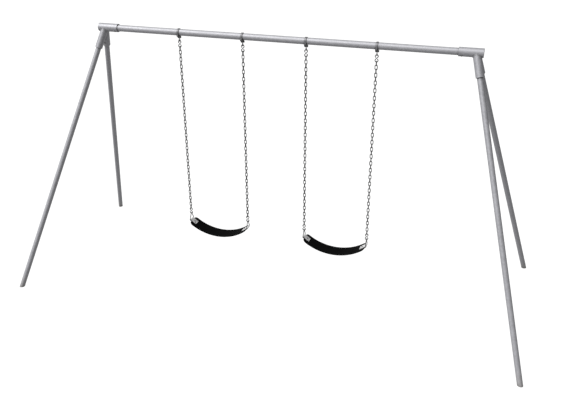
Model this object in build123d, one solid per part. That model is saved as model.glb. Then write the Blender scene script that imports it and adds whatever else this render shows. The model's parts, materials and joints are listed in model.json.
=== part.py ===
from build123d import *

import math
import os

# A two-bay pipe swing set: one straight top rail on two splayed pairs of legs, carrying two strap seats on chain.
# Millimetres. +X runs along the top rail, +Y to the rear, +Z up. The origin is on the ground under the rail's middle.

# ---- Frame: driving dimensions ----
RAIL_HEIGHT = 2438.4  # ground to the rail's axis
RAIL_RADIUS = 30.15
RAIL_WALL = 3.9
LEG_RADIUS = 24.15
LEG_WALL = 3.7
LEG_APEX_X = 1706.0  # where a pair of leg axes meets the rail's axis
FOOT_X = 2399.5  # leg axis at the ground
FOOT_Y = 968.0
LEG_TOP = 92.0  # leg's upper end, along its axis from the rail's axis

SLEEVE_RADIUS = 38.1
SLEEVE_BORE = 30.6
SLEEVE_INNER_X = 1565.0
SLEEVE_OUTER_X = 1762.0
SOCKET_RADIUS = 33.35
SOCKET_BORE = 24.6
SOCKET_END = 203.0  # along the leg's axis from the rail's axis
SOCKET_BORE_START = 50.0  # clear of the sleeve's wall
LEG_OVERRUN = 75.0  # cut away level with the ground
RAIL_END_GAP = 2.0  # rail's end to the cap's spigot

CAP_THICKNESS = 3.5
CAP_SPIGOT_RADIUS = 30.4
CAP_SPIGOT_LENGTH = 9.0
CAP_SPIGOT_WALL = 3.0
CAP_EDGE_ROUND = 2.0

# ---- Frame fasteners ----
FRAME_SCREW_RADIUS = 5.0
FRAME_SCREW_HOLE = 5.1
FRAME_HEAD_RADIUS = 8.5
FRAME_HEAD_HEIGHT = 5.0
FRAME_HEAD_GAP = 0.05  # flat head over a round pipe
FRAME_SCREW_END = 1.0  # shank beyond the pipe's inner wall
HEAD_ROUND = 0.7  # shares of a button head's height and radius
DRIVE_DEPTH = 0.8
DRIVE_RADIUS = 0.3
SOCKET_SCREW_AT = 160.0  # along the leg's axis
SLEEVE_SCREW_X = 1592.0
SLEEVE_SCREW_TILT = 45.0  # degrees either side of straight down

# ---- Hangers: measured down from the rail's axis ----
HALF_SPAN = 311.0  # a swing's middle to each of its hangers and rings
STRAP_WIDTH = 16.0
STRAP_THICKNESS = 5.0
STRAP_BORE = 30.45
STRAP_TAIL = 34.0
YOKE_WIDTH = 25.0
YOKE_HALF_DEPTH = 30.2
YOKE_BORE = 30.35
YOKE_TOP = 8.0
YOKE_BOTTOM = 34.0
EAR_GAP = 13.0
EAR_RADIUS = 10.5
PIVOT_DROP = 44.0
PIVOT_RADIUS = 5.0
PIVOT_HOLE = 5.1
PIVOT_HEAD_RADIUS = 8.0
PIVOT_HEAD_HEIGHT = 4.5
NUT_FLATS = 15.0
NUT_HEIGHT = 5.0
NUT_BORE = 5.05
NUT_TAIL = 0.6  # bolt end beyond the nut

STRAP_SCREW_DROP = 27.0
STRAP_SCREW_RADIUS = 4.0
STRAP_SCREW_HOLE = 4.2
YOKE_SCREW_HOLE = 4.05
YOKE_SCREW_DEPTH_Y = 21.5
STRAP_HEAD_RADIUS = 7.0
STRAP_HEAD_HEIGHT = 4.4
STRAP_SCREW_END_GAP = 0.5
SADDLE_OVERLAP = 1.0  # ears into the saddle
MOUTH_OVERRUN = 1.0  # a cut's start outside the surface

BUSH_BORE = 5.06
BUSH_RADIUS = 6.5
BUSH_LENGTH = 12.6
BOSS_BORE = 6.52
BOSS_RADIUS = 9.5
BOSS_LENGTH = 12.0
EYE_BAR_RADIUS = 3.5
EYE_RADIUS = 11.0  # centreline of the pendulum's eye
NECK_RADIUS = 3.2
NECK_LENGTH = 6.8  # boss's underside to the eye's centreline
NECK_OVERLAP = 1.5  # neck into the boss

# ---- S-hooks and chain ----
HOOK_WIRE = 4.0  # radius
HOOK_LOOP = 13.0  # centreline radius of each loop
HOOK_MOUTH = 1.0  # gap left where a loop closes on its shank
UPPER_HOOK_SPAN = 36.0  # between loop centres
LOWER_HOOK_SPAN = 35.7
LINK_WIRE = 3.5
LINK_BEND = 10.3  # centreline radius of a link's end
LINK_COUNT = 49
SLACK = 0.25  # between one link or hook and the next
RING_CLEARANCE = 0.3

# ---- Seats ----
SEAT_DROP = 2032.0  # rail's axis to the belt's lowest point, mid-thickness
ARC_RADIUS = 482.0  # middle of the belt's thickness
BELT_THICKNESS = 9.0
BELT_WIDTH = 152.0
BELT_HALF_LENGTH = 327.0  # along the arc
BELT_CORNER = 38.0
INSERT_THICKNESS = 1.5
INSERT_WIDTH = 98.0
INSERT_HALF_LENGTH = 300.0
INSERT_PLAY = 0.2
SLOT_OVERRUN = 5.0
PLATE_THICKNESS = 3.0
PLATE_WIDTH = 60.0
PLATE_START = 270.0  # along the arc from the belt's middle
PLATE_PLAY = 0.1
RING_WIRE = 4.0
RING_HEIGHT = 66.4  # hook wire's centre to the base bar's centre
RING_HALF_BASE = 40.0
RING_CORNER = 8.0
RIVET_HEAD_HEIGHT = 2.4
RIVET_HEAD_SPREAD = 1.8  # head radius over shank radius
RIVET_HEAD_ROUND = 0.8  # share of the head's height
RIVET_PLAY = 0.05
RIVET_HEAD_GAP = 0.15  # flat head over the plate's curve
RIVETS = ((298.0, 0.0, 5.0), (284.0, 19.0, 3.2), (284.0, -19.0, 3.2))  # along the arc, across, shank radius

# ---- Worked out from the above ----
LEG_VECTOR = Vector(FOOT_X - LEG_APEX_X, FOOT_Y, -RAIL_HEIGHT)
LEG_LENGTH = LEG_VECTOR.length
LEG_DIRECTION = LEG_VECTOR.normalized()
EYE_DROP = PIVOT_DROP + BOSS_RADIUS + NECK_LENGTH + EYE_RADIUS
BRIDGE_DROP = EYE_DROP + EYE_RADIUS
HOOK_INSIDE = HOOK_LOOP - HOOK_WIRE
UPPER_LOOP_DROP = BRIDGE_DROP - EYE_BAR_RADIUS - RING_CLEARANCE + HOOK_INSIDE
CHAIN_START_DROP = UPPER_LOOP_DROP + UPPER_HOOK_SPAN + HOOK_INSIDE - SLACK - LINK_WIRE
ARC_DROP = math.sqrt(ARC_RADIUS**2 - HALF_SPAN**2)
RING_ALONG = ARC_RADIUS * math.asin(HALF_SPAN / ARC_RADIUS)  # along the arc
ARC_CENTRE_Z = RAIL_HEIGHT - SEAT_DROP + ARC_RADIUS
RING_BASE_Z = ARC_CENTRE_Z - ARC_DROP
RING_PIVOT_Z = RING_BASE_Z + RING_HEIGHT
LOWER_LOOP_Z = RING_PIVOT_Z + HOOK_LOOP + LOWER_HOOK_SPAN
CHAIN_END_Z = LOWER_LOOP_Z + HOOK_INSIDE - SLACK - LINK_WIRE
LINK_PITCH = (RAIL_HEIGHT - CHAIN_START_DROP - CHAIN_END_Z - 2 * LINK_WIRE - SLACK) / LINK_COUNT

SIDES = {"left": -1, "right": 1}
SWING_MIDDLES = {"left": -626.0, "right": 587.0}  # both bays sit a little left of the rail's middle
ENDS = {"outer": 1, "inner": -1}


def save(shape, node):
    """Write one node's solids to its own file."""
    export_step(shape, f"parts/{node}.step")


def group(shapes):
    """Separate solids kept together as one node."""
    return Compound([solid for shape in shapes for solid in shape.solids()])


def axis_plane(origin, direction):
    """A plane whose Z runs along a direction."""
    return Plane(origin=origin, z_dir=direction)


def rod(origin, direction, radius, length):
    """A round bar that starts at a point and runs along a direction."""
    return axis_plane(origin, direction) * Pos(0, 0, length / 2) * Cylinder(radius, length)


def button_screw(seat, direction, shank_radius, shank_length, head_radius, head_height):
    """A button-head screw: its head's underside is at seat and its shank runs along direction."""
    plane = axis_plane(seat, direction)
    shank = Pos(0, 0, shank_length / 2) * Cylinder(shank_radius, shank_length)
    head = Pos(0, 0, -head_height / 2) * Cylinder(head_radius, head_height)
    head = fillet(head.edges().filter_by(GeomType.CIRCLE).sort_by(Axis.Z)[0], head_height * HEAD_ROUND)
    drive = Pos(0, 0, -head_height) * Cylinder(head_radius * DRIVE_RADIUS, head_height * DRIVE_DEPTH)
    return plane * (shank + head - drive)


def bent_rod(path, radius):
    """Round wire of a given radius along a smooth planar path."""
    section = Plane(origin=path @ 0, z_dir=path % 0) * Circle(radius)
    return sweep(section, path=path)


# ---- Frame ----
def make_rail():
    half = SLEEVE_OUTER_X - CAP_SPIGOT_LENGTH - RAIL_END_GAP
    start = (-half, 0, RAIL_HEIGHT)
    rail = rod(start, (1, 0, 0), RAIL_RADIUS, 2 * half) - rod(start, (1, 0, 0), RAIL_RADIUS - RAIL_WALL, 2 * half)
    for side in SIDES.values():
        for seat, direction in sleeve_screw_places(side):
            rail -= rod(seat, direction, FRAME_SCREW_HOLE, SLEEVE_RADIUS)
    return rail


def leg_frame(side, depth):
    """Apex point and downward direction of the leg on this side (-1, 1) and depth (-1 front, 1 rear)."""
    apex = Vector(side * LEG_APEX_X, 0, RAIL_HEIGHT)
    direction = Vector(side * LEG_DIRECTION.X, depth * LEG_DIRECTION.Y, LEG_DIRECTION.Z)
    return apex, direction


def socket_screw_place(side, depth):
    """Head seat and inward direction of a socket's screw, on the face towards the other leg of the pair."""
    apex, direction = leg_frame(side, depth)
    towards = Vector(0, -depth, 0)
    outward = (towards - direction * towards.dot(direction)).normalized()
    seat = apex + direction * SOCKET_SCREW_AT + outward * (SOCKET_RADIUS + FRAME_HEAD_GAP)
    return seat, outward * -1


def sleeve_screw_places(side):
    """Head seats and inward directions of the screws that hold the rail in a sleeve."""
    places = []
    for sign in (-1, 1):
        tilt = math.radians(SLEEVE_SCREW_TILT)
        outward = Vector(0, sign * math.sin(tilt), -math.cos(tilt))
        seat = Vector(side * SLEEVE_SCREW_X, 0, RAIL_HEIGHT) + outward * (SLEEVE_RADIUS + FRAME_HEAD_GAP)
        places.append((seat, outward * -1))
    return places


def make_leg(side, depth):
    apex, direction = leg_frame(side, depth)
    start = apex + direction * LEG_TOP
    length = LEG_LENGTH - LEG_TOP + LEG_OVERRUN
    leg = rod(start, direction, LEG_RADIUS, length) - rod(start, direction, LEG_RADIUS - LEG_WALL, length)
    ground = Pos(side * FOOT_X, depth * FOOT_Y, -RAIL_HEIGHT / 2) * Box(RAIL_HEIGHT, RAIL_HEIGHT, RAIL_HEIGHT)
    seat, inward = socket_screw_place(side, depth)
    return leg - ground - rod(seat, inward, FRAME_SCREW_HOLE, SOCKET_RADIUS)


def make_end_fitting(side):
    """A sleeve over the rail's end with two leg sockets welded under it, as one weldment."""
    length = SLEEVE_OUTER_X - SLEEVE_INNER_X
    start = (side * SLEEVE_INNER_X, 0, RAIL_HEIGHT)
    along = (side, 0, 0)
    body = rod(start, along, SLEEVE_RADIUS, length)
    for depth in (-1, 1):
        apex, direction = leg_frame(side, depth)
        body += rod(apex, direction, SOCKET_RADIUS, SOCKET_END)
    for depth in (-1, 1):
        apex, direction = leg_frame(side, depth)
        bore_start = apex + direction * SOCKET_BORE_START
        body -= rod(bore_start, direction, SOCKET_BORE, SOCKET_END)
        seat, inward = socket_screw_place(side, depth)
        body -= rod(seat, inward, FRAME_SCREW_HOLE, SOCKET_RADIUS)
    body -= rod(start, along, SLEEVE_BORE, length)
    for seat, direction in sleeve_screw_places(side):
        body -= rod(seat, direction, FRAME_SCREW_HOLE, SLEEVE_RADIUS)
    return body


def make_rail_cap(side):
    face = (side * SLEEVE_OUTER_X, 0, RAIL_HEIGHT)
    disc = Pos(0, 0, CAP_THICKNESS / 2) * Cylinder(SLEEVE_RADIUS, CAP_THICKNESS)
    disc = fillet(disc.edges().filter_by(GeomType.CIRCLE).sort_by(Axis.Z)[-1], CAP_EDGE_ROUND)
    spigot = Pos(0, 0, -CAP_SPIGOT_LENGTH / 2) * Cylinder(CAP_SPIGOT_RADIUS, CAP_SPIGOT_LENGTH)
    hollow = Pos(0, 0, -CAP_SPIGOT_LENGTH / 2) * Cylinder(CAP_SPIGOT_RADIUS - CAP_SPIGOT_WALL, CAP_SPIGOT_LENGTH)
    return axis_plane(face, (side, 0, 0)) * (disc + spigot - hollow)


def make_socket_screws():
    reach = SOCKET_RADIUS - LEG_RADIUS + LEG_WALL + FRAME_SCREW_END
    places = [socket_screw_place(side, depth) for side in (-1, 1) for depth in (-1, 1)]
    return group([
        button_screw(seat, inward, FRAME_SCREW_RADIUS, reach, FRAME_HEAD_RADIUS, FRAME_HEAD_HEIGHT)
        for seat, inward in places
    ])


def make_sleeve_screws():
    reach = SLEEVE_RADIUS - RAIL_RADIUS + RAIL_WALL + FRAME_SCREW_END
    places = [place for side in (-1, 1) for place in sleeve_screw_places(side)]
    return group([
        button_screw(seat, inward, FRAME_SCREW_RADIUS, reach, FRAME_HEAD_RADIUS, FRAME_HEAD_HEIGHT)
        for seat, inward in places
    ])


# ---- Hangers ----
def make_strap(x):
    """A flat band over the rail whose straight tails hang down beside the yoke."""
    outer = STRAP_BORE + STRAP_THICKNESS
    arch = Circle(outer) - Circle(STRAP_BORE)
    arch &= Pos(0, outer / 2) * Rectangle(2 * outer, outer)
    for sign in (-1, 1):
        middle = sign * (STRAP_BORE + STRAP_THICKNESS / 2)
        arch += Pos(middle, -STRAP_TAIL / 2) * Rectangle(STRAP_THICKNESS, STRAP_TAIL)
    profile = Plane(origin=(x - STRAP_WIDTH / 2, 0, RAIL_HEIGHT), x_dir=(0, 1, 0), z_dir=(1, 0, 0)) * arch
    strap = extrude(profile, STRAP_WIDTH)
    across = 2 * (outer + MOUTH_OVERRUN)
    hole = rod((x, -across / 2, RAIL_HEIGHT - STRAP_SCREW_DROP), (0, 1, 0), STRAP_SCREW_HOLE, across)
    return strap - hole


def make_yoke(x):
    """A saddle under the rail with two ears for the pivot bolt."""
    saddle_height = YOKE_BOTTOM - YOKE_TOP
    saddle_middle = RAIL_HEIGHT - (YOKE_TOP + YOKE_BOTTOM) / 2
    yoke = Pos(x, 0, saddle_middle) * Box(YOKE_WIDTH, 2 * YOKE_HALF_DEPTH, saddle_height)
    ear_thickness = (YOKE_WIDTH - EAR_GAP) / 2
    for sign in (-1, 1):
        start = x + sign * EAR_GAP / 2
        cheek_height = PIVOT_DROP - YOKE_BOTTOM + SADDLE_OVERLAP
        cheek_middle = RAIL_HEIGHT - PIVOT_DROP + cheek_height / 2
        cheek = Pos(start + sign * ear_thickness / 2, 0, cheek_middle)
        yoke += cheek * Box(ear_thickness, 2 * EAR_RADIUS, cheek_height)
        yoke += rod((start, 0, RAIL_HEIGHT - PIVOT_DROP), (sign, 0, 0), EAR_RADIUS, ear_thickness)
    left = (x - YOKE_WIDTH, 0, RAIL_HEIGHT)
    yoke -= rod(left, (1, 0, 0), YOKE_BORE, 2 * YOKE_WIDTH)
    pivot = (x - YOKE_WIDTH, 0, RAIL_HEIGHT - PIVOT_DROP)
    yoke -= rod(pivot, (1, 0, 0), PIVOT_HOLE, 2 * YOKE_WIDTH)
    for sign in (-1, 1):
        mouth = (x, sign * (YOKE_HALF_DEPTH + MOUTH_OVERRUN), RAIL_HEIGHT - STRAP_SCREW_DROP)
        depth = YOKE_HALF_DEPTH + MOUTH_OVERRUN - YOKE_SCREW_DEPTH_Y
        yoke -= rod(mouth, (0, -sign, 0), YOKE_SCREW_HOLE, depth)
    return yoke


def make_strap_screws(places):
    seat_y = STRAP_BORE + STRAP_THICKNESS
    reach = seat_y - YOKE_SCREW_DEPTH_Y - STRAP_SCREW_END_GAP
    z = RAIL_HEIGHT - STRAP_SCREW_DROP
    return group([
        button_screw((x, sign * seat_y, z), (0, -sign, 0), STRAP_SCREW_RADIUS, reach,
                     STRAP_HEAD_RADIUS, STRAP_HEAD_HEIGHT)
        for x in places
        for sign in (-1, 1)
    ])


def make_pivot_bolts(places):
    reach = YOKE_WIDTH + NUT_HEIGHT + NUT_TAIL
    z = RAIL_HEIGHT - PIVOT_DROP
    return group([
        button_screw((x - YOKE_WIDTH / 2, 0, z), (1, 0, 0), PIVOT_RADIUS, reach,
                     PIVOT_HEAD_RADIUS, PIVOT_HEAD_HEIGHT)
        for x in places
    ])


def make_pivot_nuts(places):
    corner_radius = NUT_FLATS / 2 / math.cos(math.radians(30))
    shape = RegularPolygon(corner_radius, 6) - Circle(NUT_BORE)
    z = RAIL_HEIGHT - PIVOT_DROP
    return group([
        extrude(axis_plane((x + YOKE_WIDTH / 2, 0, z), (1, 0, 0)) * shape, NUT_HEIGHT)
        for x in places
    ])


def make_pendulum(x):
    """A forged swing eye: a boss round the pivot bush, a short neck and a ring that the S-hook hangs in."""
    boss = rod((x - BOSS_LENGTH / 2, 0, RAIL_HEIGHT - PIVOT_DROP), (1, 0, 0), BOSS_RADIUS, BOSS_LENGTH)
    neck_top = (x, 0, RAIL_HEIGHT - PIVOT_DROP - BOSS_RADIUS + NECK_OVERLAP)
    neck = rod(neck_top, (0, 0, -1), NECK_RADIUS, NECK_OVERLAP + NECK_LENGTH)
    eye = axis_plane((x, 0, RAIL_HEIGHT - EYE_DROP), (1, 0, 0)) * Torus(EYE_RADIUS, EYE_BAR_RADIUS)
    bore = rod((x - BOSS_LENGTH, 0, RAIL_HEIGHT - PIVOT_DROP), (1, 0, 0), BOSS_BORE, 2 * BOSS_LENGTH)
    return boss + neck + eye - bore


def make_bush(x):
    start = (x - BUSH_LENGTH / 2, 0, RAIL_HEIGHT - PIVOT_DROP)
    return rod(start, (1, 0, 0), BUSH_RADIUS, BUSH_LENGTH) - rod(start, (1, 0, 0), BUSH_BORE, BUSH_LENGTH)


# ---- S-hooks and chain ----
def make_hook(x, upper_loop_z, span):
    """An S-hook in the XZ plane: upper mouth on the left, shank from upper right to lower left."""
    lean = math.degrees(math.asin(2 * HOOK_LOOP / span))  # where the shank leaves each loop
    closing = math.degrees(math.acos((HOOK_LOOP - 2 * HOOK_WIRE - HOOK_MOUTH) / HOOK_LOOP))
    sweep_angle = 360 - closing
    upper = CenterArc((0, span), HOOK_LOOP, -lean, sweep_angle)
    lower = CenterArc((0, 0), HOOK_LOOP, 180 - lean, sweep_angle)
    shank = Line(upper @ 0, lower @ 0)
    plane = Plane(origin=(x, 0, upper_loop_z - span), x_dir=(1, 0, 0), z_dir=(0, -1, 0))
    pieces = [bent_rod(plane * edge, HOOK_WIRE) for edge in (upper, shank, lower)]
    return pieces[0] + pieces[1] + pieces[2]


def chain_link_shape():
    """A link about its own centre, flat in the XZ plane."""
    straight = LINK_PITCH + SLACK + 2 * LINK_WIRE - 2 * LINK_BEND
    top = CenterArc((0, straight / 2), LINK_BEND, 0, 180)
    bottom = CenterArc((0, -straight / 2), LINK_BEND, 180, 180)
    left = Line(top @ 1, bottom @ 0)
    right = Line(bottom @ 1, top @ 0)
    plane = Plane(origin=(0, 0, 0), x_dir=(1, 0, 0), z_dir=(0, -1, 0))
    pieces = [bent_rod(plane * edge, LINK_WIRE) for edge in (top, left, bottom, right)]
    return pieces[0] + pieces[1] + pieces[2] + pieces[3]


def make_chain(x, link):
    """Straight links down from the upper hook; odd links turn a quarter so that both ends cross their hooks."""
    first_z = RAIL_HEIGHT - CHAIN_START_DROP - LINK_WIRE - (LINK_PITCH + SLACK) / 2
    links = []
    for index in range(LINK_COUNT):
        turn = 90 if index % 2 == 0 else 0
        links.append(Location((x, 0, first_z - index * LINK_PITCH), (0, 0, turn)) * link)
    return group(links)


# ---- Seats ----
def arc_angle(along):
    """Angle in degrees from straight down for a distance along the belt."""
    return math.degrees(along / ARC_RADIUS)


def arc_band(half_thickness, start, end):
    """Part of a ring about the belt's arc centre, between two distances along the belt, in the XZ plane."""
    inner = ARC_RADIUS - half_thickness
    outer = ARC_RADIUS + half_thickness
    low = -90 + arc_angle(start)
    sweep_angle = arc_angle(end - start)
    outside = CenterArc((0, 0), outer, low, sweep_angle)
    inside = CenterArc((0, 0), inner, low, sweep_angle)
    outline = [outside, Line(outside @ 1, inside @ 1), inside, Line(inside @ 0, outside @ 0)]
    return make_face(outline)


def seat_plane(x):
    return Plane(origin=(x, 0, ARC_CENTRE_Z), x_dir=(1, 0, 0), z_dir=(0, -1, 0))


def slab(x, face, width):
    """A profile in the seat's XZ plane, as wide as given across the seat."""
    return extrude(seat_plane(x) * face, width / 2, both=True)


def rivet_axis(x, end, along, across):
    """Point at the belt's middle surface and outward (downward) direction of a rivet."""
    angle = math.radians(end * arc_angle(along))
    down = Vector(math.sin(angle), 0, -math.cos(angle))
    return Vector(x, across, ARC_CENTRE_Z) + down * ARC_RADIUS, down


def rivet_holes(x):
    holes = []
    for end in (-1, 1):
        for along, across, radius in RIVETS:
            middle, down = rivet_axis(x, end, along, across)
            reach = BELT_THICKNESS + PLATE_THICKNESS
            holes.append(rod(middle - down * reach, down, radius + RIVET_PLAY, 2 * reach))
    return holes


def make_belt(x):
    """A sagging rubber strap with rounded corners and a slot for its steel insert."""
    belt = slab(x, arc_band(BELT_THICKNESS / 2, -BELT_HALF_LENGTH, BELT_HALF_LENGTH), BELT_WIDTH)
    half_chord = ARC_RADIUS * math.sin(math.radians(arc_angle(BELT_HALF_LENGTH)))
    plan = Pos(x, 0, 0) * RectangleRounded(2 * half_chord, BELT_WIDTH, BELT_CORNER)
    belt &= extrude(plan, RAIL_HEIGHT)
    slot = arc_band(INSERT_THICKNESS / 2 + INSERT_PLAY, -BELT_HALF_LENGTH - SLOT_OVERRUN, BELT_HALF_LENGTH + SLOT_OVERRUN)
    belt -= slab(x, slot, INSERT_WIDTH + 2 * INSERT_PLAY)
    for hole in rivet_holes(x):
        belt -= hole
    return belt


def make_insert(x):
    insert = slab(x, arc_band(INSERT_THICKNESS / 2, -INSERT_HALF_LENGTH, INSERT_HALF_LENGTH), INSERT_WIDTH)
    for hole in rivet_holes(x):
        insert -= hole
    return insert


def make_end_plates(x):
    """A steel strip at each end of the belt, folded round the ring's base bar and riveted through the belt."""
    inner = BELT_THICKNESS / 2 + PLATE_PLAY
    outer = inner + PLATE_THICKNESS
    plates = []
    for end in (-1, 1):
        start, stop = sorted((end * PLATE_START, end * RING_ALONG))
        cut_start, cut_stop = sorted((end * (PLATE_START - SLOT_OVERRUN), end * RING_ALONG))
        centre = Pos(end * HALF_SPAN, -ARC_DROP)
        profile = arc_band(outer, start, stop) + centre * Circle(outer)
        profile -= arc_band(inner, cut_start, cut_stop)
        profile -= centre * Circle(inner)
        plates.append(slab(x, profile, PLATE_WIDTH))
    plates = group(plates)
    for hole in rivet_holes(x):
        plates -= hole
    return group([plates])


def make_rivets(x):
    reach = BELT_THICKNESS / 2 + PLATE_PLAY + PLATE_THICKNESS + RIVET_HEAD_GAP
    rivets = []
    for end in (-1, 1):
        for along, across, radius in RIVETS:
            middle, down = rivet_axis(x, end, along, across)
            rivet = rod(middle - down * reach, down, radius, 2 * reach)
            for face in (-1, 1):
                head = Pos(0, 0, RIVET_HEAD_HEIGHT / 2) * Cylinder(radius * RIVET_HEAD_SPREAD, RIVET_HEAD_HEIGHT)
                rim = head.edges().filter_by(GeomType.CIRCLE).sort_by(Axis.Z)[-1]
                head = fillet(rim, RIVET_HEAD_HEIGHT * RIVET_HEAD_ROUND)
                rivet += axis_plane(middle + down * reach * face, down * face) * head
            rivets.append(rivet)
    return group(rivets)


def make_ring(x):
    """A triangular wire ring: base bar through the plate's fold, apex round the S-hook's lower bend."""
    apex_radius = HOOK_WIRE + RING_CLEARANCE + RING_WIRE
    corner_y = RING_HALF_BASE - RING_CORNER
    apex_from_corner = Vector(-corner_y, RING_HEIGHT - RING_CORNER)
    distance = apex_from_corner.length
    heading = math.degrees(math.atan2(apex_from_corner.Y, apex_from_corner.X))
    tilt = math.degrees(math.asin((apex_radius - RING_CORNER) / distance))
    normal = heading - 90 - tilt  # outward from the ring's right-hand side
    apex = CenterArc((0, RING_HEIGHT), apex_radius, normal, 180 - 2 * normal)
    right = CenterArc((corner_y, RING_CORNER), RING_CORNER, -90, 90 + normal)
    left = CenterArc((-corner_y, RING_CORNER), RING_CORNER, 180 - normal, 90 + normal)
    edges = [right, Line(right @ 1, apex @ 0), apex, Line(apex @ 1, left @ 0), left, Line(left @ 1, right @ 0)]
    plane = Plane(origin=(x, 0, RING_BASE_Z), x_dir=(0, 1, 0), z_dir=(1, 0, 0))
    ring = bent_rod(plane * edges[0], RING_WIRE)
    for edge in edges[1:]:
        ring += bent_rod(plane * edge, RING_WIRE)
    return ring


def main():
    os.makedirs("parts", exist_ok=True)
    hanger_places = [
        SWING_MIDDLES[name] + side * outward * HALF_SPAN
        for name, side in SIDES.items()
        for outward in ENDS.values()
    ]
    save(make_rail(), "top_rail")
    save(make_socket_screws(), "socket_screws")
    save(make_sleeve_screws(), "sleeve_screws")
    save(make_strap_screws(hanger_places), "strap_screws")
    save(make_pivot_bolts(hanger_places), "pivot_bolts")
    save(make_pivot_nuts(hanger_places), "pivot_nuts")
    link = chain_link_shape()
    for name, side in SIDES.items():
        save(make_end_fitting(side), f"{name}_end_fitting")
        save(make_rail_cap(side), f"{name}_rail_cap")
        save(make_leg(side, -1), f"{name}_front_leg")
        save(make_leg(side, 1), f"{name}_rear_leg")
        middle = SWING_MIDDLES[name]
        for end, outward in ENDS.items():
            x = middle + side * outward * HALF_SPAN
            save(make_strap(x), f"{name}_{end}_strap")
            save(make_yoke(x), f"{name}_{end}_yoke")
            save(make_pendulum(x), f"{name}_{end}_pendulum")
            save(make_bush(x), f"{name}_{end}_bush")
            save(make_hook(x, RAIL_HEIGHT - UPPER_LOOP_DROP, UPPER_HOOK_SPAN), f"{name}_{end}_upper_hook")
            save(make_chain(x, link), f"{name}_{end}_chain")
            save(make_hook(x, LOWER_LOOP_Z, LOWER_HOOK_SPAN), f"{name}_{end}_lower_hook")
            save(make_ring(x), f"{name}_{end}_ring")
        save(make_belt(middle), f"{name}_belt")
        save(make_insert(middle), f"{name}_belt_insert")
        save(make_end_plates(middle), f"{name}_end_plates")
        save(make_rivets(middle), f"{name}_rivets")
    print("link pitch", round(LINK_PITCH, 3))


main()
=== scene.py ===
import math
import random

import bpy
from mathutils import Matrix, Vector
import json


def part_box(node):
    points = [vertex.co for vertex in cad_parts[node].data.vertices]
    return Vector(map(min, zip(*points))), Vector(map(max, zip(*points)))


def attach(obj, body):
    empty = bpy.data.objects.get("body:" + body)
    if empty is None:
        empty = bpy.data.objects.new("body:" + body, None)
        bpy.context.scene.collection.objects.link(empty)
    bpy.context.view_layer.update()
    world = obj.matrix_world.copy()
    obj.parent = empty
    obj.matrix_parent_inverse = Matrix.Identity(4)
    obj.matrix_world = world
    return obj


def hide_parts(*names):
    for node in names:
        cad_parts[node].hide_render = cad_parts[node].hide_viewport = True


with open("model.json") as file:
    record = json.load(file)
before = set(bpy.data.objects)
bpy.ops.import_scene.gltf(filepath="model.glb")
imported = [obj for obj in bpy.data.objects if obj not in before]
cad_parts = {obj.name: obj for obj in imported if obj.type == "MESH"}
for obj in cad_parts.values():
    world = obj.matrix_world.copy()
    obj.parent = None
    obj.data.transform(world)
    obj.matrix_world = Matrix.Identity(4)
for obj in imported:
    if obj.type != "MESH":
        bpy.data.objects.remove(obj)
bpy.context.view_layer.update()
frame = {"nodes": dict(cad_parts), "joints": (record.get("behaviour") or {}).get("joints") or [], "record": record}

# Metres, in the frame's own axes: +X along the rail, +Y to the rear, +Z up.

# ---- Sizes that the pieces share with the frame ----
RAIL_RADIUS = 0.03015
RAIL_WALL = 0.0039
LEG_RADIUS = 0.02415
LEG_WALL = 0.0037
LEG_APEX_X = 1.706
FOOT_X = 2.3995
FOOT_Y = 0.968
LEG_TOP = 0.092
SLEEVE_RADIUS = 0.0381
SOCKET_RADIUS = 0.03335
SOCKET_SCREW_AT = 0.160
HEAD_GAP = 0.00005  # under a frame screw's head
SLEEVE_SCREW_X = 1.592
SLEEVE_SCREW_TILT = math.radians(45)

STRAP_OUTSIDE = 0.03545
STRAP_SCREW_DROP = 0.027
YOKE_HALF_WIDTH = 0.0125
BOLT_RADIUS = 0.005
NUT_FLATS = 0.015
NUT_HEIGHT = 0.005
FRAME_SCREW_HEAD = (0.0085, 0.005)  # radius and height
STRAP_SCREW_HEAD = (0.007, 0.0044)
BOLT_HEAD = (0.008, 0.0045)
WELD_BEAD = 0.0031
WELD_RIPPLE = 0.0052
HOOK_WIRE = 0.004
HOOK_LOOP = 0.013
HOOK_MOUTH = 0.0003
HOOK_TIPS = (0.82, 0.95, 0.99)  # an end's wire size, from its tip inwards
LINK_COUNT = 49
LINK_WIRE = 0.0035
LINK_BEND = 0.0103
LINK_SLACK = 0.00025
LINK_TWIST = 4.0  # degrees that a link may stand off square
WELD_SWELL = 0.13
WELD_REACH = 0.0022
WEAR_REACH = 0.006  # from the chain's axis
WEAR_START = 0.72  # share of a link's half length
RING_WIRE = 0.004
RING_HALF_BASE = 0.040
RING_CORNER = 0.008
RING_APEX = 0.0083
ARC_RADIUS = 0.482
BELT_THICKNESS = 0.009
BELT_HALF_WIDTH = 0.076
BELT_HALF_LENGTH = 0.327
BELT_CORNER = 0.038
PLATE_START = 0.270
PLATE_HALF_WIDTH = 0.030
PLATE_OUTSIDE = 0.0076  # middle of the belt to the plate's outer face
RIVETS = ((0.298, 0.0, 0.005), (0.284, 0.019, 0.0032), (0.284, -0.019, 0.0032))
RIVET_HEIGHT = 0.0024

# ---- Relief moulded into a belt's top ----
RIM_HEIGHT = 0.0026
RIM_SLOPE = (0.0075, 0.0105)  # distances from the belt's edge
PANEL_SLOPE = (0.011, 0.014)
RIB_HEIGHT = 0.0011
RIB_PLACES = (0.244, 0.254)
RIB_SLOPE = (0.0012, 0.0026)
PIP_HEIGHT = 0.0008
PIP_PITCH = 0.0085
PIP_SLOPE = (0.0014, 0.0028)
PIPS_END = (0.234, 0.238)
END_EASE = 0.0015  # how far the belt's ends are rounded in

SIDES = {"left": -1, "right": 1}
ENDS = {"outer": "", "inner": "_inner"}  # each end's ending in a joint's name
JOINT_PLACES = {joint["name"]: Vector(joint["pos_m"]) for joint in frame["joints"]}
RAIL_Z = sum(corner.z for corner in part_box("top_rail")) / 2
RAIL_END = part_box("top_rail")[1].x


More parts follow.
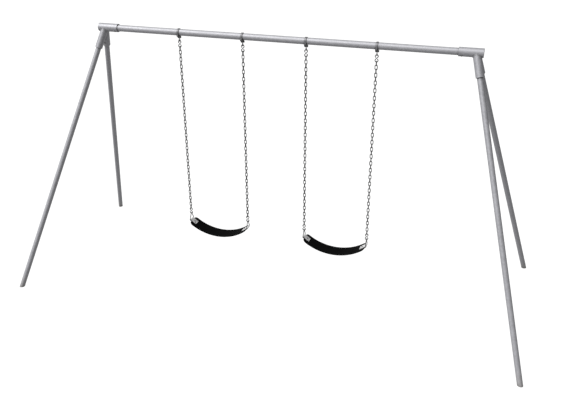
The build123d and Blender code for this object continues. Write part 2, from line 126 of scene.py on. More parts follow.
# ---- Camera and light ----
CAMERA_PLACE = Vector((1.9618, -5.7338, 3.7762))
CAMERA_YAW = -0.3245
CAMERA_PITCH = -0.4532
CAMERA_ROLL = -0.0059
CAMERA_LENS = 44.21
KEY_DIRECTION = Vector((-0.45, -0.42, 0.79))  # from the upper left, a little in front


def add_camera():
    """A camera that looks down on the swing set from the front, right of its middle."""
    forward = Vector((
        math.sin(CAMERA_YAW) * math.cos(CAMERA_PITCH),
        math.cos(CAMERA_YAW) * math.cos(CAMERA_PITCH),
        math.sin(CAMERA_PITCH),
    ))
    right = forward.cross(Vector((0, 0, 1))).normalized()
    up = right.cross(forward)
    turned_right = right * math.cos(CAMERA_ROLL) + up * math.sin(CAMERA_ROLL)
    turned_up = up * math.cos(CAMERA_ROLL) - right * math.sin(CAMERA_ROLL)
    data = bpy.data.cameras.new("camera")
    data.lens = CAMERA_LENS
    data.sensor_width = 36
    data.clip_end = 200
    camera = bpy.data.objects.new("camera", data)
    turn = Matrix((turned_right, turned_up, -forward)).transposed()
    camera.matrix_world = Matrix.Translation(CAMERA_PLACE) @ turn.to_4x4()
    bpy.context.scene.collection.objects.link(camera)
    bpy.context.scene.camera = camera


def add_soft_sun(name, strength, spread, floor, floor_only=False):
    """Even light from the key direction, on all but the floor, or without shadows on the floor alone."""
    data = bpy.data.lights.new(name, "SUN")
    data.energy = strength
    data.angle = math.radians(spread)
    data.use_shadow = not floor_only
    light = bpy.data.objects.new(name, data)
    light.matrix_world = KEY_DIRECTION.to_track_quat("Z", "Y").to_matrix().to_4x4()
    bpy.context.scene.collection.objects.link(light)
    lit = bpy.data.collections.new(f"{name}_receivers")
    lit.objects.link(floor)
    lit.collection_objects[0].light_linking.link_state = "INCLUDE" if floor_only else "EXCLUDE"
    light.light_linking.receiver_collection = lit


def add_world(strength):
    """Plain white surroundings: full white behind the object, dimmer as a light on it."""
    world = bpy.data.worlds.new("studio")
    world.use_nodes = True
    nodes, links = world.node_tree.nodes, world.node_tree.links
    light = nodes["Background"]
    light.inputs["Color"].default_value = (1, 1, 1, 1)
    light.inputs["Strength"].default_value = strength
    backdrop = nodes.new("ShaderNodeBackground")
    backdrop.inputs["Color"].default_value = (1, 1, 1, 1)
    backdrop.inputs["Strength"].default_value = 1.0
    seen = nodes.new("ShaderNodeLightPath").outputs["Is Camera Ray"]
    choice = nodes.new("ShaderNodeMixShader")
    links.new(seen, choice.inputs["Fac"])
    links.new(light.outputs["Background"], choice.inputs[1])
    links.new(backdrop.outputs["Background"], choice.inputs[2])
    links.new(choice.outputs["Shader"], nodes["World Output"].inputs["Surface"])
    bpy.context.scene.world = world


# ---- Materials ----
class Shader:
    """A Principled material and short calls for the nodes that drive it."""

    def __init__(self, name, metallic=0.0, specular=0.5):
        self.material = bpy.data.materials.new(name)
        self.material.use_nodes = True
        self.tree = self.material.node_tree
        self.surface = self.tree.nodes["Principled BSDF"]
        self.surface.inputs["Metallic"].default_value = metallic
        self.surface.inputs["Specular IOR Level"].default_value = specular
        self.coordinates = self.node("ShaderNodeTexCoord").outputs["Object"]

    def node(self, kind, **settings):
        made = self.tree.nodes.new(kind)
        for key, value in settings.items():
            setattr(made, key, value)
        return made

    def link(self, source, target):
        self.tree.links.new(source, target)

    def noise(self, scale, detail=4.0, roughness=0.5):
        made = self.node("ShaderNodeTexNoise")
        made.inputs["Scale"].default_value = scale
        made.inputs["Detail"].default_value = detail
        made.inputs["Roughness"].default_value = roughness
        self.link(self.coordinates, made.inputs["Vector"])
        return made.outputs["Fac"]

    def cells(self, scale):
        """A random value for each crystal-like cell."""
        made = self.node("ShaderNodeTexVoronoi")
        made.inputs["Scale"].default_value = scale
        self.link(self.coordinates, made.inputs["Vector"])
        grey = self.node("ShaderNodeSeparateColor")
        self.link(made.outputs["Color"], grey.inputs["Color"])
        return grey.outputs["Red"]

    def attribute(self, name):
        return self.node("ShaderNodeAttribute", attribute_name=name).outputs["Fac"]

    def span(self, value, low, high, start=0.0, end=1.0):
        """Value from start..end carried to low..high and held there."""
        made = self.node("ShaderNodeMapRange", clamp=True)
        made.inputs["From Min"].default_value = start
        made.inputs["From Max"].default_value = end
        made.inputs["To Min"].default_value = low
        made.inputs["To Max"].default_value = high
        self.link(value, made.inputs["Value"])
        return made.outputs["Result"]

    def math(self, operation, first, second):
        made = self.node("ShaderNodeMath", operation=operation)
        for value, socket in ((first, made.inputs[0]), (second, made.inputs[1])):
            if isinstance(value, (int, float)):
                socket.default_value = value
            else:
                self.link(value, socket)
        return made.outputs["Value"]

    def mix(self, factor, first, second):
        """Colour that goes from first to second; each is a colour or a socket."""
        made = self.node("ShaderNodeMix", data_type="RGBA")
        self.link(factor, made.inputs["Factor"])
        for value, socket in ((first, made.inputs["A"]), (second, made.inputs["B"])):
            if isinstance(value, tuple):
                socket.default_value = (*value, 1)
            else:
                self.link(value, socket)
        return made.outputs["Result"]

    def height(self):
        """Height above the ground at rest."""
        split = self.node("ShaderNodeSeparateXYZ")
        self.link(self.coordinates, split.inputs["Vector"])
        return split.outputs["Z"]

    def hollow(self, distance):
        """How much nearby surfaces shade a point, used to paint shade: 1 deep in a corner or under an overlap, 0
        on an open face.
        """
        made = self.node("ShaderNodeAmbientOcclusion", samples=8)
        made.inputs["Distance"].default_value = distance
        return self.span(made.outputs["AO"], 1.0, 0.0, 0.35, 1.0)

    def colour(self, value):
        self.link(value, self.surface.inputs["Base Color"])

    def roughness(self, value):
        self.link(value, self.surface.inputs["Roughness"])

    def bump(self, value, distance, strength, below=None):
        made = self.node("ShaderNodeBump")
        made.inputs["Distance"].default_value = distance
        made.inputs["Strength"].default_value = strength
        self.link(value, made.inputs["Height"])
        if below is not None:
            self.link(below, made.inputs["Normal"])
        return made.outputs["Normal"]

    def normal(self, value):
        self.link(value, self.surface.inputs["Normal"])


def galvanized(name, dark, light, spangle_size, rough, soil=False):
    """Hot-dip zinc: faint crystal spangle, cloudy weathering and fine pitting, with painted shade in corners and
    under overlaps.
    """
    shader = Shader(name, metallic=0.4)
    spangle = shader.cells(1 / spangle_size)
    cloud = shader.noise(7.0, 5.0, 0.6)
    fine = shader.noise(260.0, 3.0)
    crystals = shader.math("MULTIPLY", spangle, 0.45)
    tone = shader.math("ADD", crystals, shader.math("MULTIPLY", cloud, 0.55))
    base = shader.mix(shader.span(tone, 0.0, 1.0, 0.2, 0.8), dark, light)
    bloom = shader.span(shader.noise(2.6, 6.0, 0.7), 0.0, 0.22, 0.6, 0.78)
    base = shader.mix(bloom, base, (0.29, 0.29, 0.3))
    speck = shader.span(shader.noise(75.0, 2.0), 0.0, 0.4, 0.7, 0.78)
    base = shader.mix(speck, base, tuple(value * 0.6 for value in dark))
    # Painted shade: ambient occlusion darkens corners and overlaps towards near black, broken up a little by fine
    # noise.
    painted_shade = shader.math("MULTIPLY", shader.hollow(0.03), shader.span(fine, 0.75, 1.0))
    base = shader.mix(painted_shade, base, (0.028, 0.027, 0.026))
    if soil:
        splash = shader.math("MULTIPLY", shader.span(shader.height(), 0.6, 0.0, 0.0, 0.14), cloud)
        base = shader.mix(splash, base, (0.11, 0.095, 0.075))
    shader.colour(base)
    grey = shader.span(cloud, rough - 0.04, rough + 0.06, 0.3, 0.7)
    uneven = shader.math("ADD", shader.span(spangle, -0.05, 0.05), grey)
    shader.roughness(shader.math("ADD", uneven, shader.math("MULTIPLY", bloom, 0.4)))
    pitted = shader.bump(fine, 0.0003, 0.4)
    shader.normal(shader.bump(cloud, 0.001, 0.2, pitted))
    return shader.material


def plated(name, dark, light, rough, worn_colour=None):
    """Zinc plate: semi-bright with dull patches, and rubbed where the mesh's wear attribute says so."""
    shader = Shader(name, metallic=0.75)
    patch = shader.noise(55.0, 5.0, 0.6)
    fine = shader.noise(900.0, 2.0)
    base = shader.mix(shader.span(patch, 0.0, 1.0, 0.3, 0.7), dark, light)
    stain = shader.span(shader.noise(21.0, 4.0), 0.0, 0.45, 0.6, 0.75)
    base = shader.mix(stain, base, tuple(value * 0.5 for value in dark))
    rub = shader.span(patch, rough - 0.07, rough + 0.1, 0.3, 0.7)
    if worn_colour:
        worn = shader.attribute("wear")
        base = shader.mix(worn, base, worn_colour)
        rub = shader.math("SUBTRACT", rub, shader.math("MULTIPLY", worn, 0.16))
    shader.colour(base)
    shader.roughness(rub)
    shader.normal(shader.bump(fine, 0.0002, 0.35))
    return shader.material


def forged(name):
    """Galvanized forging: coarse sand-cast grain under the zinc, with painted shade in its corners."""
    shader = Shader(name, metallic=0.5)
    grain = shader.noise(420.0, 5.0, 0.7)
    cloud = shader.noise(38.0, 4.0)
    tone = shader.span(cloud, 0.0, 1.0, 0.3, 0.7)
    base = shader.mix(tone, (0.05, 0.05, 0.053), (0.085, 0.085, 0.089))
    # Painted shade: ambient occlusion darkens corners and overlaps towards near black.
    shader.colour(shader.mix(shader.hollow(0.012), base, (0.02, 0.019, 0.018)))
    shader.roughness(shader.span(grain, 0.45, 0.7, 0.3, 0.7))
    shader.normal(shader.bump(grain, 0.0006, 0.7))
    return shader.material


def rubber(name):
    """Black moulded rubber: dull, with dusty scuffs."""
    shader = Shader(name, specular=0.015)
    cloud = shader.noise(16.0, 5.0, 0.6)
    grain = shader.noise(1100.0, 3.0)
    scuff = shader.span(shader.noise(85.0, 6.0, 0.75), 0.0, 0.45, 0.62, 0.82)
    tone = shader.span(cloud, 0.0, 1.0, 0.3, 0.7)
    base = shader.mix(tone, (0.0008, 0.0008, 0.0008), (0.0016, 0.0016, 0.0017))
    base = shader.mix(scuff, base, (0.005, 0.005, 0.005))
    shader.colour(base)
    shader.roughness(shader.span(cloud, 0.5, 0.68, 0.3, 0.7))
    shader.normal(shader.bump(grain, 0.0003, 0.5))
    return shader.material


def bronze(name):
    """Oil-filled sintered bronze: warm, with fine pores."""
    shader = Shader(name, metallic=0.9)
    patch = shader.noise(160.0, 4.0)
    tone = shader.span(patch, 0.0, 1.0, 0.3, 0.7)
    shader.colour(shader.mix(tone, (0.16, 0.095, 0.04), (0.3, 0.19, 0.085)))
    shader.roughness(shader.span(patch, 0.28, 0.48, 0.3, 0.7))
    shader.normal(shader.bump(shader.noise(1500.0, 2.0), 0.0002, 0.4))
    return shader.material


def plastic(name):
    """Moulded grey plastic with a fine matt texture."""
    shader = Shader(name, specular=0.4)
    cloud = shader.noise(30.0, 4.0)
    tone = shader.span(cloud, 0.0, 1.0, 0.3, 0.7)
    shader.colour(shader.mix(tone, (0.12, 0.12, 0.125), (0.155, 0.155, 0.162)))
    shader.roughness(shader.span(cloud, 0.45, 0.6, 0.3, 0.7))
    shader.normal(shader.bump(shader.noise(700.0, 3.0), 0.0003, 0.5))
    return shader.material


def make_materials():
    """A material for each slot in the record, and one for the weld beads."""
    pipe_greys = (0.132, 0.132, 0.140), (0.168, 0.168, 0.178)
    fitting_greys = (0.125, 0.125, 0.133), (0.16, 0.16, 0.17)
    weld_greys = (0.11, 0.11, 0.116), (0.17, 0.17, 0.178)
    hardware_greys = (0.045, 0.045, 0.046), (0.08, 0.08, 0.082)
    chain_greys = (0.028, 0.028, 0.029), (0.052, 0.052, 0.053)
    plate_greys = (0.46, 0.46, 0.46), (0.6, 0.6, 0.6)
    spring_greys = (0.05, 0.05, 0.052), (0.09, 0.09, 0.095)
    return {
        "galvanized_pipe": galvanized("galvanized_pipe", *pipe_greys, 0.012, 0.6, soil=True),
        "galvanized_fitting": galvanized("galvanized_fitting", *fitting_greys, 0.009, 0.57),
        "weld": galvanized("weld", *weld_greys, 0.004, 0.55),
        "zinc_hardware": plated("zinc_hardware", *hardware_greys, 0.42),
        "zinc_chain": plated("zinc_chain", *chain_greys, 0.44, worn_colour=(0.14, 0.14, 0.14)),
        "forged_hanger": forged("forged_hanger"),
        "bush_bronze": bronze("bush_bronze"),
        "cap_plastic": plastic("cap_plastic"),
        "seat_rubber": rubber("seat_rubber"),
        "seat_steel": plated("seat_steel", *plate_greys, 0.4),
        "spring_steel": plated("spring_steel", *spring_greys, 0.4),
    }


# ---- Mesh building ----
def grid_faces(rows, columns, closed_rows=False, closed_columns=True):
    """Quads between rows of points; a closed direction joins its last line to its first."""
    faces = []
    for row in range(rows if closed_rows else rows - 1):
        following = (row + 1) % rows
        for column in range(columns if closed_columns else columns - 1):
            beside = (column + 1) % columns
            faces.append((row * columns + column, row * columns + beside,
                          following * columns + beside, following * columns + column))
    return faces


def joined(parts):
    """One list of points and faces from several."""
    points, faces = [], []
    for part_points, part_faces in parts:
        start = len(points)
        points += part_points
        faces += [tuple(start + index for index in face) for face in part_faces]
    return points, faces


def add_piece(name, shape, material, body, replaced=(), sharp=35.0):
    """A mesh object on a body, with its finish and the CAD nodes that it stands for."""
    points, faces = shape
    mesh = bpy.data.meshes.new(name)
    mesh.from_pydata([tuple(point) for point in points], [], faces)
    mesh.validate()
    mesh.shade_smooth()
    mesh.set_sharp_from_angle(angle=math.radians(sharp))
    mesh.materials.append(material)
    piece = bpy.data.objects.new(name, mesh)
    bpy.context.scene.collection.objects.link(piece)
    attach(piece, body)
    if replaced:
        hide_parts(*replaced)
    return piece


def across(direction):
    """Two unit vectors square to a direction."""
    helper = Vector((0, 0, 1)) if abs(direction.z) < 0.9 else Vector((0, 1, 0))
    first = direction.cross(helper).normalized()
    return first, first.cross(direction).normalized() * -1


def lathe(place, direction, profile, segments=48, radius_at=None):
    """A turned shape from (distance along direction, radius) pairs; radius_at may vary a ring by angle."""
    direction = Vector(direction).normalized()
    first, second = across(direction)
    points = []
    for row, (along, radius) in enumerate(profile):
        for step in range(segments):
            angle = 2 * math.pi * step / segments
            size = radius if radius_at is None else radius_at(row, angle, radius)
            offset = first * math.cos(angle) * size + second * math.sin(angle) * size
            points.append(Vector(place) + direction * along + offset)
    faces = grid_faces(len(profile), segments)
    faces.append(tuple(reversed(range(segments))))
    last = (len(profile) - 1) * segments
    faces.append(tuple(range(last, last + segments)))
    return points, faces


def hex_radius(angle, apothem):
    """Distance from a hexagon's centre to its side at an angle."""
    return apothem / math.cos((angle % (math.pi / 3)) - math.pi / 6)


def button_screw(seat, inward, radius, height):
    """A domed head with a hexagon socket, and a short neck that enters the hole below it."""
    socket = radius * 0.42
    dome = [(-height * math.sin(turn), radius * 0.45 + radius * 0.55 * math.cos(turn))
            for turn in (math.radians(degrees) for degrees in range(0, 91, 10))]
    profile = [(0.006, radius * 0.5), (0.0001, radius * 0.5), (0.0001, radius * 0.94), (-0.0003, radius)]
    profile += dome[1:]
    mouth = len(profile)
    profile += [(-height, socket * 1.12), (-height * 0.96, socket), (-height * 0.35, socket * 0.98)]

    def shaped(row, angle, size):
        return hex_radius(angle, size * 0.9) if row >= mouth else size

    return lathe(seat, inward, profile, 48, shaped)


def hex_nut(seat, outward, flats, height, bore):
    """A hexagon nut with chamfered corners and a threaded bolt end standing a little proud of it."""
    apothem = flats / 2
    corner = apothem / math.cos(math.pi / 6)
    rings = [(0.0, 0.94), (0.0006, 1.0), (height - 0.0008, 1.0), (height, 0.93)]
    profile = [(along, corner * share) for along, share in rings]
    profile += [(height, bore * 1.12), (height - 0.0007, bore), (height + 0.0004, bore * 0.96)]
    profile += [(height + 0.0012, bore * 0.82)]

    def shaped(row, angle, size):
        return min(hex_radius(angle, apothem), size) if row < len(rings) else size

    return lathe(seat, outward, profile, 72, shaped)


def wire(path, radius, sides, closed=False, sizes=None):
    """Round wire along points; sizes gives each point's share of the radius."""
    count = len(path)
    points = []
    reference = None
    for index, place in enumerate(path):
        before = path[index - 1] if closed or index else path[index]
        after = path[(index + 1) % count] if closed or index < count - 1 else path[index]
        tangent = (after - before).normalized()
        if reference is None:
            reference = across(tangent)[0]
        reference = (reference - tangent * reference.dot(tangent)).normalized()
        binormal = tangent.cross(reference)
        size = radius if sizes is None else radius * sizes[index]
        for step in range(sides):
            angle = 2 * math.pi * step / sides
            points.append(place + (reference * math.cos(angle) + binormal * math.sin(angle)) * size)
    faces = grid_faces(count, sides, closed_rows=closed)
    if not closed:
        faces.append(tuple(reversed(range(sides))))
        faces.append(tuple(range((count - 1) * sides, count * sides)))
    return points, faces


def arc_points(centre, radius, start, turn, steps, horizontal, vertical):
    """Points on an arc about centre, in the plane of two unit vectors; angles in radians."""
    points = []
    for step in range(steps + 1):
        angle = start + turn * step / steps
        points.append(centre + horizontal * radius * math.cos(angle) + vertical * radius * math.sin(angle))
    return points


X_AXIS, Y_AXIS, Z_AXIS = Vector((1, 0, 0)), Vector((0, 1, 0)), Vector((0, 0, 1))


# ---- Pipes ----
def leg_line(side, depth):
    """Apex and unit downward direction of a leg's axis."""
    apex = Vector((side * LEG_APEX_X, 0, RAIL_Z))
    foot = Vector((side * FOOT_X, depth * FOOT_Y, 0))
    return apex, (foot - apex).normalized()


def pipe(start, direction, outer, wall, end_length=None, ground=False, segments=72, rows=40):
    """A hollow pipe with eased edges, cut square or level with the ground."""
    first, second = across(direction)
    ease = 0.0006
    rings = []
    for surface, radius in (("outside", outer), ("inside", outer - wall)):
        inset = ease if surface == "outside" else -ease
        shares = [index / rows for index in range(rows + 1)]
        lines = [(0.0, 0.0, radius - inset)] + [(share, 1.0, radius) for share in shares]
        lines.append((1.0, 0.0, radius - inset))
        rings.append(lines if surface == "outside" else list(reversed(lines)))
    points = []
    for lines in rings:
        for share, held, radius in lines:
            for step in range(segments):
                angle = 2 * math.pi * step / segments
                offset = (first * math.cos(angle) + second * math.sin(angle)) * radius
                rim = start + offset
                length = -rim.z / direction.z if ground else end_length
                margin = ease * held
                along = margin + (length - 2 * margin) * share
                points.append(rim + direction * along)
    return points, grid_faces(2 * (rows + 3), segments, closed_rows=True)


def add_pipes(materials):
    start = Vector((-RAIL_END, 0, RAIL_Z))
    rail = pipe(start, X_AXIS, RAIL_RADIUS, RAIL_WALL, end_length=2 * RAIL_END, segments=96, rows=80)
    add_piece("rail_pipe", rail, materials["galvanized_pipe"], "frame", ["top_rail"])
    for name, side in SIDES.items():
        for depth, place in ((-1, "front"), (1, "rear")):
            apex, direction = leg_line(side, depth)
            leg = pipe(apex + direction * LEG_TOP, direction, LEG_RADIUS, LEG_WALL, ground=True)
            add_piece(f"{name}_{place}_leg_pipe", leg, materials["galvanized_pipe"], "frame",
                      [f"{name}_{place}_leg"])


# ---- Welds ----
def socket_seam(angle, first, second, direction):
    """Point where a socket's surface line at an angle meets the sleeve or the other socket."""
    offset = (first * math.cos(angle) + second * math.sin(angle)) * SOCKET_RADIUS
    square = direction.y**2 + direction.z**2
    half = direction.y * offset.y + direction.z * offset.z
    rest = offset.y**2 + offset.z**2 - SLEEVE_RADIUS**2
    on_sleeve = (-half + math.sqrt(max(half**2 - square * rest, 0))) / square
    on_twin = -offset.y / direction.y
    return offset, max(on_sleeve, on_twin), on_twin > on_sleeve


def add_welds(materials):
    """A rippled bead round each socket where it is welded to its sleeve and to its twin."""
    steps = 260
    for name, side in SIDES.items():
        for depth, place in ((-1, "front"), (1, "rear")):
            apex, direction = leg_line(side, depth)
            first, second = across(direction)
            path = []
            for step in range(steps):
                angle = 2 * math.pi * step / steps
                offset, along, shared = socket_seam(angle, first, second, direction)
                if shared and depth == 1:
                    along += 0.003
                path.append(apex + offset + direction * along)
            travelled = 0.0
            sizes = []
            for index, point in enumerate(path):
                travelled += (point - path[index - 1]).length if index else 0.0
                sizes.append(1.0 + 0.16 * abs(math.sin(math.pi * travelled / WELD_RIPPLE)))
            bead = wire(path, WELD_BEAD, sides=10, closed=True, sizes=sizes)
            add_piece(f"{name}_{place}_socket_weld", bead, materials["weld"], "frame",
                      sharp=60)


# ---- Fasteners ----
def socket_screw_place(side, depth):
    apex, direction = leg_line(side, depth)
    towards = Vector((0, -depth, 0))
    outward = (towards - direction * towards.dot(direction)).normalized()
    return apex + direction * SOCKET_SCREW_AT + outward * (SOCKET_RADIUS + HEAD_GAP), -outward


def sleeve_screw_places(side):
    places = []
    for sign in (-1, 1):
        outward = Vector((0, sign * math.sin(SLEEVE_SCREW_TILT), -math.cos(SLEEVE_SCREW_TILT)))
        seat = Vector((side * SLEEVE_SCREW_X, 0, RAIL_Z)) + outward * (SLEEVE_RADIUS + HEAD_GAP)
        places.append((seat, -outward))
    return places


def add_fasteners(materials):
    hardware = materials["zinc_hardware"]
    sockets = [socket_screw_place(side, depth) for side in (-1, 1) for depth in (-1, 1)]
    sleeves = [place for side in (-1, 1) for place in sleeve_screw_places(side)]
    for name, node, places in (("socket_screw_heads", "socket_screws", sockets),
                               ("sleeve_screw_heads", "sleeve_screws", sleeves)):
        heads = joined([button_screw(seat, inward, *FRAME_SCREW_HEAD) for seat, inward in places])
        add_piece(name, heads, hardware, "frame", [node])
    hangers = [JOINT_PLACES[f"{side}_swing{suffix}"] for side in SIDES for suffix in ENDS.values()]
    straps = [(Vector((place.x, sign * STRAP_OUTSIDE, RAIL_Z - STRAP_SCREW_DROP)), Vector((0, -sign, 0)))
              for place in hangers for sign in (-1, 1)]
    heads = joined([button_screw(seat, inward, *STRAP_SCREW_HEAD) for seat, inward in straps])
    add_piece("strap_screw_heads", heads, hardware, "frame", ["strap_screws"])
    shank = [(0, BOLT_RADIUS), (2 * YOKE_HALF_WIDTH, BOLT_RADIUS)]
    bolts = [button_screw(place - X_AXIS * YOKE_HALF_WIDTH, X_AXIS, *BOLT_HEAD) for place in hangers]
    shanks = [lathe(place - X_AXIS * YOKE_HALF_WIDTH, X_AXIS, shank) for place in hangers]
    add_piece("pivot_bolt_heads", joined(bolts + shanks), hardware, "frame",
              ["pivot_bolts"])
    nuts = [hex_nut(place + X_AXIS * YOKE_HALF_WIDTH, X_AXIS, NUT_FLATS, NUT_HEIGHT, BOLT_RADIUS)
            for place in hangers]
    add_piece("pivot_nut_set", joined(nuts), hardware, "frame", ["pivot_nuts"])


# ---- S-hooks, chain and rings ----
def hook_path(place, span):
    """Centreline of an S-hook below the centre of its upper loop."""
    lean = math.asin(2 * HOOK_LOOP / span)
    closing = math.acos((HOOK_LOOP - 2 * HOOK_WIRE - HOOK_MOUTH) / HOOK_LOOP)
    turn = 2 * math.pi - closing
    top = Vector(place)
    bottom = top - Z_AXIS * span
    upper = arc_points(top, HOOK_LOOP, -lean, turn, 44, X_AXIS, Z_AXIS)
    lower = arc_points(bottom, HOOK_LOOP, math.pi - lean, turn, 44, X_AXIS, Z_AXIS)
    shank = [upper[0].lerp(lower[0], step / 8) for step in range(1, 8)]
    return list(reversed(upper)) + shank + lower


def hook_shape(place, span):
    path = hook_path(place, span)
    middle = [1.0] * (len(path) - 2 * len(HOOK_TIPS))
    sizes = [*HOOK_TIPS, *middle, *reversed(HOOK_TIPS)]
    return wire(path, HOOK_WIRE, sides=20, sizes=sizes)


def link_path(length):
    """Closed centreline of a link about its own centre, upright in the XZ plane."""
    straight = length - 2 * LINK_BEND
    top = arc_points(Z_AXIS * straight / 2, LINK_BEND, 0, math.pi, 14, X_AXIS, Z_AXIS)
    bottom = arc_points(-Z_AXIS * straight / 2, LINK_BEND, math.pi, math.pi, 14, X_AXIS, Z_AXIS)
    down = [top[-1].lerp(bottom[0], step / 6) for step in range(1, 6)]
    up = [bottom[-1].lerp(top[0], step / 6) for step in range(1, 6)]
    return top + down + bottom + up


def chain_shape(upper, height, pitch, dice):
    """All links of one chain, each turned a quarter from the last, with a weld swelling on one leg."""
    length = pitch + LINK_SLACK + 2 * LINK_WIRE
    base = link_path(length)
    weld = Vector((LINK_BEND, 0, 0))
    swell = [1.0 + WELD_SWELL * math.exp(-((point - weld).length / WELD_REACH)**2) for point in base]
    first = height - LINK_WIRE - (pitch + LINK_SLACK) / 2 - LINK_WIRE
    parts = []
    wear = []
    for index in range(LINK_COUNT):
        centre = Vector((upper.x, upper.y, first - index * pitch))
        turn = math.radians(90 if index % 2 == 0 else 0)
        turn += math.radians(dice.uniform(-LINK_TWIST, LINK_TWIST))
        turn += math.pi * dice.choice((0, 1))
        spin = Matrix.Rotation(turn, 3, "Z")
        points, faces = wire(base, LINK_WIRE, sides=12, closed=True, sizes=swell)
        for point in points:
            inside = max(0.0, 1.0 - math.hypot(point.x, point.y) / WEAR_REACH)
            near_end = max(0.0, abs(point.z) / (length / 2) - WEAR_START) / (1.0 - WEAR_START)
            wear.append(min(1.0, 1.6 * inside * near_end))
        parts.append(([spin @ point + centre for point in points], faces))
    return joined(parts), wear


def ring_path(place, height):
    """Closed centreline of a triangular ring in the YZ plane, below its pivot."""
    base = place - Z_AXIS * height
    corner_y = RING_HALF_BASE - RING_CORNER
    rise = height - RING_CORNER
    distance = math.hypot(corner_y, rise)
    heading = math.atan2(rise, -corner_y)
    normal = heading - math.pi / 2 - math.asin((RING_APEX - RING_CORNER) / distance)
    corner = base + Z_AXIS * RING_CORNER
    bend = math.pi / 2 + normal
    right_centre = corner + Y_AXIS * corner_y
    left_centre = corner - Y_AXIS * corner_y
    right = arc_points(right_centre, RING_CORNER, -math.pi / 2, bend, 12, Y_AXIS, Z_AXIS)
    apex = arc_points(place, RING_APEX, normal, math.pi - 2 * normal, 16, Y_AXIS, Z_AXIS)
    left = arc_points(left_centre, RING_CORNER, math.pi - normal, bend, 12, Y_AXIS, Z_AXIS)
    path = list(right)
    for part in (apex, left):
        path += [path[-1].lerp(part[0], step / 8) for step in range(1, 8)] + part
    path += [path[-1].lerp(right[0], step / 12) for step in range(1, 12)]
    return path


def add_hangings(materials):
    """The hooks, chain and ring at both ends of each seat."""
    dice = random.Random(11)
    hardware = materials["zinc_hardware"]
    for name in SIDES:
        rock = JOINT_PLACES[f"{name}_seat_rock"]
        ring_height = rock.z - ring_base_z(name)
        for end, suffix in ENDS.items():
            upper = JOINT_PLACES[f"{name}_sway{suffix}"]
            lower = JOINT_PLACES[f"{name}_hook_level{suffix}"]
            hook_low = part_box(f"{name}_{end}_upper_hook")[0].z
            span = upper.z - hook_low - HOOK_LOOP - HOOK_WIRE
            add_piece(f"{name}_{end}_upper_s_hook", hook_shape(upper, span), hardware,
                      f"{name}_{end}_chain", [f"{name}_{end}_upper_hook"])
            low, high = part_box(f"{name}_{end}_chain")
            pitch = (high.z - low.z - LINK_SLACK - 4 * LINK_WIRE) / LINK_COUNT
            shape, wear = chain_shape(upper, high.z, pitch, dice)
            chain = add_piece(f"{name}_{end}_chain_links", shape, materials["zinc_chain"],
                              f"{name}_{end}_chain", [f"{name}_{end}_chain"], sharp=70)
            attribute = chain.data.attributes.new("wear", "FLOAT", "POINT")
            attribute.data.foreach_set("value", wear)
            span = lower.z - rock.z - HOOK_LOOP
            add_piece(f"{name}_{end}_lower_s_hook", hook_shape(lower, span), hardware,
                      f"{name}_{end}_hook", [f"{name}_{end}_lower_hook"])
            pivot = Vector((lower.x, 0, rock.z))
            ring = wire(ring_path(pivot, ring_height), RING_WIRE, sides=20, closed=True)
            add_piece(f"{name}_{end}_seat_ring", ring, hardware, f"{name}_seat",
                      [f"{name}_{end}_ring"], sharp=60)


# ---- Seats ----
def arc_centre(name):
    low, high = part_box(f"{name}_belt")
    return Vector(((low.x + high.x) / 2, 0, low.z + ARC_RADIUS + BELT_THICKNESS / 2))


def ring_base_z(name):
    low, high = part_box(f"{name}_outer_ring")
    return low.z + RING_WIRE


def belt_half_width(along):
    """Half the belt's width at a distance along it, with rounded corners."""
    past = abs(along) - (BELT_HALF_LENGTH - BELT_CORNER)
    if past <= 0:
        return BELT_HALF_WIDTH
    return BELT_HALF_WIDTH - BELT_CORNER + math.sqrt(max(BELT_CORNER**2 - past**2, 0.0))


def smooth(value, start, end):
    """0 before start, 1 after end, eased between."""
    share = min(max((value - start) / (end - start), 0.0), 1.0)
    return share * share * (3 - 2 * share)


def belt_relief(along, over, half_width):
    """Height of the moulded relief on the belt's top: rim, cross ribs and staggered pips."""
    reach = min(half_width - abs(over), BELT_HALF_LENGTH + 0.004 - abs(along))
    beside_plate = smooth(abs(along), PLATE_START - 0.012, PLATE_START - 0.006)
    beside_plate *= 1 - smooth(abs(over), PLATE_HALF_WIDTH + 0.002, PLATE_HALF_WIDTH + 0.006)
    rim = (1 - smooth(reach, *RIM_SLOPE)) * RIM_HEIGHT
    inside = smooth(reach, *PANEL_SLOPE)
    rib = max(1 - smooth(abs(abs(along) - place), *RIB_SLOPE) for place in RIB_PLACES)
    open_panel = inside * (1 - smooth(abs(along), *PIPS_END))
    row = math.floor(over / PIP_PITCH + 0.5)
    shift = 0.5 * (row % 2)
    column = math.floor(along / PIP_PITCH + shift + 0.5)
    centre_along = (column - shift) * PIP_PITCH
    pip = 1 - smooth(math.hypot(along - centre_along, over - row * PIP_PITCH), *PIP_SLOPE)
    relief = rim + RIB_HEIGHT * rib * inside + PIP_HEIGHT * pip * open_panel
    return relief * (1 - beside_plate)


def belt_section(along, near_end, wide_steps=92, edge_steps=6):
    """Points (across the belt, out from its middle) round its cross-section at a distance along it."""
    half = BELT_THICKNESS / 2
    half_width = belt_half_width(along) - (1 - near_end) * END_EASE
    thick = half - (1 - near_end) * END_EASE
    flat = half_width - half
    section = []
    for step in range(wide_steps + 1):
        over = -flat + 2 * flat * step / wide_steps
        section.append((over, thick + belt_relief(along, over, half_width) * near_end))
    for turn in range(1, edge_steps):
        bend = math.pi / 2 - math.pi * turn / edge_steps
        rim = belt_relief(along, flat, half_width) * near_end if bend > 0 else 0.0
        section.append((flat + half * math.cos(bend), (thick + rim) * math.sin(bend)))
    for step in range(wide_steps // 2 + 1):
        section.append((flat - 2 * flat * step / (wide_steps // 2), -thick))
    for turn in range(1, edge_steps):
        bend = -math.pi / 2 - math.pi * turn / edge_steps
        rim = belt_relief(along, -flat, half_width) * near_end if math.sin(bend) > 0 else 0.0
        section.append((-flat + half * math.cos(bend), (thick + rim) * math.sin(bend)))
    return section


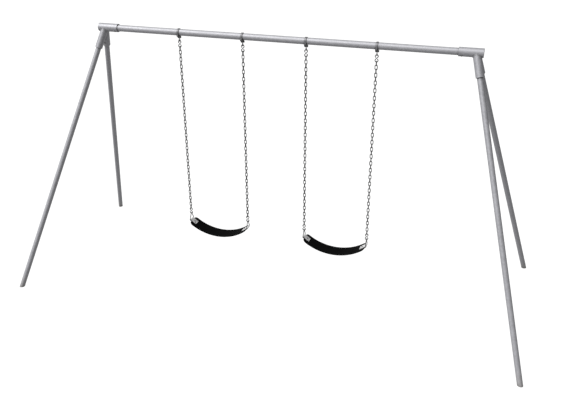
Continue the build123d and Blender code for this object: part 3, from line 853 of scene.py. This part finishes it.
def belt_shape(centre, long_steps=440):
    """The belt as rings of points round its cross-section, one ring for each step along the arc."""
    points = []
    for step in range(long_steps + 1):
        along = -BELT_HALF_LENGTH + 2 * BELT_HALF_LENGTH * step / long_steps
        near_end = smooth(BELT_HALF_LENGTH - abs(along), 0.0, 0.003)
        angle = along / ARC_RADIUS
        down = Vector((math.sin(angle), 0, -math.cos(angle)))
        for over, out in belt_section(along, near_end):
            points.append(centre + down * (ARC_RADIUS - out) + Y_AXIS * over)
    columns = len(points) // (long_steps + 1)
    faces = grid_faces(long_steps + 1, columns)
    faces.append(tuple(reversed(range(columns))))
    faces.append(tuple(range(long_steps * columns, (long_steps + 1) * columns)))
    return points, faces


def rivet_shapes(centre):
    """Domed rivet heads on both faces of the plates; the middle one is tubular, with a sunk centre."""
    shapes = []
    for end in (-1, 1):
        for along, over, radius in RIVETS:
            angle = end * along / ARC_RADIUS
            down = Vector((math.sin(angle), 0, -math.cos(angle)))
            middle = centre + down * ARC_RADIUS + Y_AXIS * over
            head = radius * 1.8
            for face in (-1, 1):
                seat = middle + down * face * PLATE_OUTSIDE
                profile = [(-0.0005, head * 0.98), (0.0002, head)]
                profile += [(RIVET_HEIGHT * math.sin(turn), head * (0.35 + 0.65 * math.cos(turn)))
                            for turn in (math.radians(degrees) for degrees in range(15, 91, 15))]
                if over == 0:
                    profile += [(RIVET_HEIGHT * 0.7, head * 0.3), (-0.001, head * 0.27)]
                shapes.append(lathe(seat, down * face, profile, 36))
    return shapes


def add_seats(materials):
    for name in SIDES:
        centre = arc_centre(name)
        add_piece(f"{name}_strap_seat", belt_shape(centre), materials["seat_rubber"],
                  f"{name}_seat", [f"{name}_belt"], sharp=50)
        add_piece(f"{name}_rivet_heads", joined(rivet_shapes(centre)), materials["zinc_hardware"],
                  f"{name}_seat", [f"{name}_rivets"])


# ---- CAD pieces that keep their shape ----
def finish_cad_nodes(materials):
    """Each CAD node takes the material of its slot, and small forged and folded pieces get eased edges."""
    slots = {entry["node"]: entry["material_slot"] for entry in frame["record"]["subparts"]}
    for name, node in frame["nodes"].items():
        node.data.materials.clear()
        node.data.materials.append(materials[slots[name]])
        if name.endswith(("_strap", "_yoke", "_pendulum", "_end_plates", "_end_fitting")):
            bevel = node.modifiers.new("eased_edges", "BEVEL")
            bevel.width = 0.0006
            bevel.segments = 2
            bevel.limit_method = "ANGLE"
            bevel.angle_limit = math.radians(40)


# ---- Stage ----
def add_floor(size=60):
    mesh = bpy.data.meshes.new("floor")
    corners = [(-size, -size, 0), (size, -size, 0), (size, size, 0), (-size, size, 0)]
    mesh.from_pydata(corners, [], [(0, 1, 2, 3)])
    shader = Shader("floor", specular=0.2)
    shader.colour(shader.mix(shader.noise(0.7, 3.0), (0.35, 0.35, 0.35), (0.36, 0.36, 0.36)))
    shader.surface.inputs["Roughness"].default_value = 0.9
    mesh.materials.append(shader.material)
    floor = bpy.data.objects.new("floor", mesh)
    bpy.context.scene.collection.objects.link(floor)
    return floor


def add_studio(floor):
    """A key light in a wide and a narrow part, with the floor lit apart so that it stays plain white."""
    add_world(0.4)
    add_soft_sun("wide_key", 2.8, 50, floor)
    add_soft_sun("narrow_key", 7.9, 30, floor)
    add_soft_sun("floor_key", 10.7, 36, floor, floor_only=True)
    bpy.context.scene.view_settings.view_transform = "Standard"


add_camera()
add_studio(add_floor())
MATERIALS = make_materials()
finish_cad_nodes(MATERIALS)
add_pipes(MATERIALS)
add_welds(MATERIALS)
add_fasteners(MATERIALS)
add_hangings(MATERIALS)
add_seats(MATERIALS)
